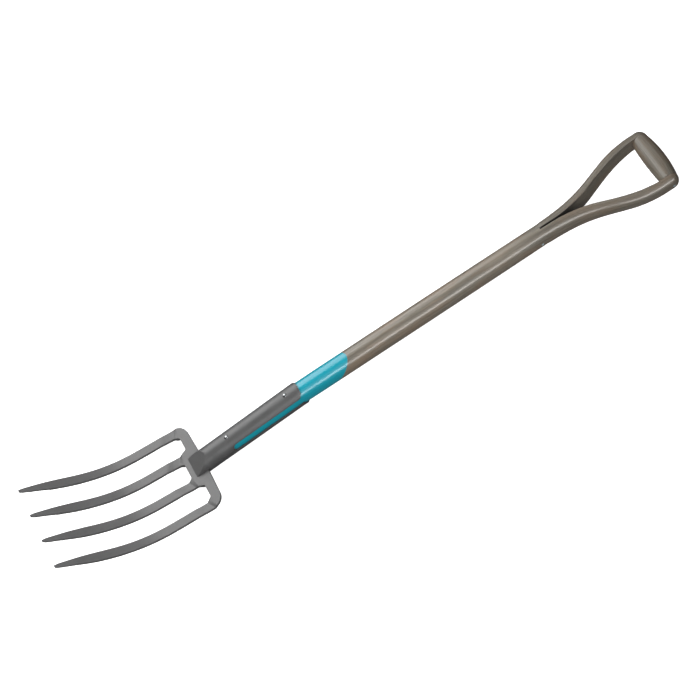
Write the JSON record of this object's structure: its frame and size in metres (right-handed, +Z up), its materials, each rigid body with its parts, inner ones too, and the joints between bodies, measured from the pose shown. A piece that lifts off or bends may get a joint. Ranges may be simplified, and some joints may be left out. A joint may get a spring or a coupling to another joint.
{
  "type": "digging fork",
  "caption": "Long-handled digging fork: forged steel head with flat curved tines, riveted strapped socket, painted and stained ash shaft split into a D-shaped hand grip.",
  "frame": {"origin": "centre of the bounding box on the floor, with the fork lying on its back, hollow side of the tines up", "axes": "+X along the shaft from the tines to the grip, +Y across the tines, +Z up, out of the fork's front"},
  "size_m": [1.1624, 0.1724, 0.1314],
  "materials": {
    "fork_head": "satin mid-grey powder coat over forged steel",
    "front_strap": "satin dark-grey powder coat over pressed steel",
    "rear_strap": "satin dark-grey powder coat over pressed steel",
    "shaft": "grey-brown stained and lacquered ash with a teal painted band above the socket",
    "grip": "grey-brown stained and lacquered ash, satin",
    "grip_rod": "zinc-plated steel rod, ends peened flush",
    "split_rivet": "zinc-plated steel, ends peened flush",
    "strap_rivet_lower": "bright domed steel rivet",
    "strap_rivet_upper": "bright domed steel rivet"
  },
  "bodies": {
    "root": {"fork_head": "fork_head", "front_strap": "front_strap", "rear_strap": "rear_strap", "shaft": "shaft", "grip": "grip", "grip_rod": "grip_rod", "split_rivet": "split_rivet", "strap_rivet_lower": "strap_rivet_lower", "strap_rivet_upper": "strap_rivet_upper"}
  },
  "joints": []
}
